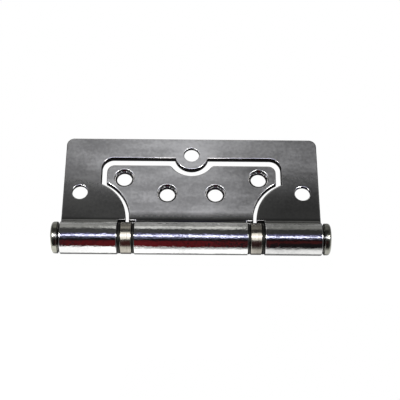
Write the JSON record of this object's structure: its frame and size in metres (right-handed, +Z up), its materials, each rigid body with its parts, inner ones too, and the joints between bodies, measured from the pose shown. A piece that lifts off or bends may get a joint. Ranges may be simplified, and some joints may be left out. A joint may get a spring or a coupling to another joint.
{
  "type": "door hinge",
  "caption": "Flat butterfly door hinge: the inner leaf nests in the outer leaf's window and swings on a capped barrel with ball bearings.",
  "frame": {"origin": "bottom centre of the closed hinge's bounding box, under the middle of the barrel and leaves", "axes": "+X along the barrel, +Y from the barrel to the leaves' far edges, +Z up out of the flat leaves, towards the door frame"},
  "size_m": [0.1068, 0.0498, 0.0125],
  "materials": {
    "satin_chrome": "chrome-plated pressed steel, satin to bright, slightly mottled flats",
    "cap_chrome": "chrome-plated turned steel",
    "bearing_shell_steel": "bright nickel-plated thin sheet",
    "bearing_steel": "bare polished steel"
  },
  "bodies": {
    "frame_side": {"outer_leaf": "satin_chrome", "hinge_pin": "bearing_steel", "cap_left": "cap_chrome", "bearing_shell_left": "bearing_shell_steel", "fixed_race_left": "bearing_steel", "cap_right": "cap_chrome", "bearing_shell_right": "bearing_shell_steel", "fixed_race_right": "bearing_steel"},
    "door_side": {"inner_leaf": "satin_chrome", "moving_race_left": "bearing_steel", "moving_race_right": "bearing_steel"},
    "balls_left": {"ball_left_01": "bearing_steel", "ball_left_02": "bearing_steel", "ball_left_03": "bearing_steel", "ball_left_04": "bearing_steel", "ball_left_05": "bearing_steel", "ball_left_06": "bearing_steel", "ball_left_07": "bearing_steel", "ball_left_08": "bearing_steel", "ball_left_09": "bearing_steel", "ball_left_10": "bearing_steel", "ball_left_11": "bearing_steel", "ball_left_12": "bearing_steel"},
    "balls_right": {"ball_right_01": "bearing_steel", "ball_right_02": "bearing_steel", "ball_right_03": "bearing_steel", "ball_right_04": "bearing_steel", "ball_right_05": "bearing_steel", "ball_right_06": "bearing_steel", "ball_right_07": "bearing_steel", "ball_right_08": "bearing_steel", "ball_right_09": "bearing_steel", "ball_right_10": "bearing_steel", "ball_right_11": "bearing_steel", "ball_right_12": "bearing_steel"}
  },
  "joints": [
    {"name": "leaf_swing", "type": "hinge", "parent": "frame_side", "child": "door_side", "pos_m": [0, -0.01868, 0.00625], "axis": [-1, 0, 0], "range_deg": [0, 180]},
    {"name": "ball_orbit_left", "type": "hinge", "parent": "frame_side", "child": "balls_left", "pos_m": [-0.0248, -0.01868, 0.00625], "axis": [-1, 0, 0], "range_deg": [0, 90]},
    {"name": "ball_orbit_right", "type": "hinge", "parent": "frame_side", "child": "balls_right", "pos_m": [0.0248, -0.01868, 0.00625], "axis": [-1, 0, 0], "range_deg": [0, 90]}
  ],
  "couplings": [
    {"joint": "ball_orbit_left", "follows": "leaf_swing", "ratio": 0.5},
    {"joint": "ball_orbit_right", "follows": "leaf_swing", "ratio": 0.5}
  ]
}
